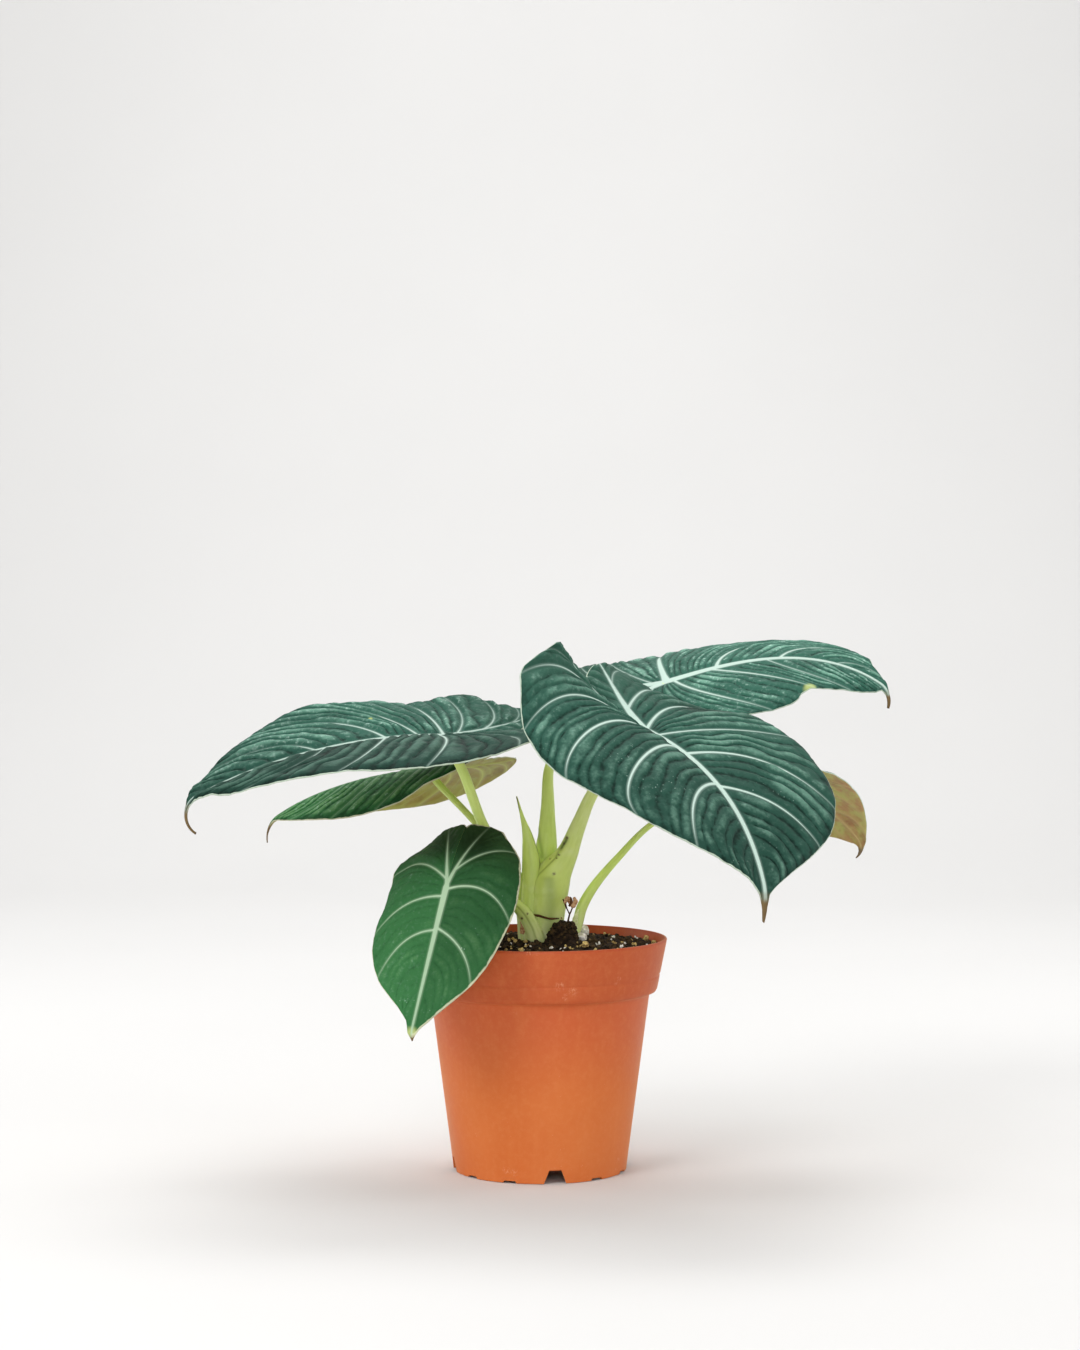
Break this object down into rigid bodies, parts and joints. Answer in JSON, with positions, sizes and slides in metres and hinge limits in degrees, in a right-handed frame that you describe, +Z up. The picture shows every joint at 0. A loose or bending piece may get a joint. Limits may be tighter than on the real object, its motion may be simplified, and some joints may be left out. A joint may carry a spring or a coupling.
{
  "type": "potted foliage plant",
  "caption": "Potted alocasia black velvet with broad heart-shaped velvety leaves, pale veins and fleshy stalks, in a round terracotta-coloured plastic nursery pot.",
  "frame": {"origin": "centre of the flat pad in the middle of the pot's underside, on the surface the pot stands on", "axes": "+Z up along the pot's axis, -Y towards the front, where the lowest leaf hangs over the rim, +X to the right as seen from the front"},
  "size_m": [0.2956, 0.225, 0.2246],
  "materials": {
    "pot": "satin",
    "soil": "rough",
    "corm": "rough",
    "stalk": "satin",
    "velvet_leaf": "matte",
    "green_leaf": "matte"
  },
  "bodies": {
    "root": {"pot": "pot", "soil": "soil", "corm": "corm", "petiole_front_right": "stalk", "petiole_back_right": "stalk", "petiole_left": "stalk", "petiole_back_left": "stalk", "petiole_front_low": "stalk", "petiole_far_right": "stalk", "sheath_tip": "stalk", "blade_front_right": "velvet_leaf", "blade_back_right": "velvet_leaf", "blade_left": "velvet_leaf", "blade_far_right": "velvet_leaf", "blade_back_left": "green_leaf", "blade_front_low": "green_leaf"}
  },
  "joints": []
}
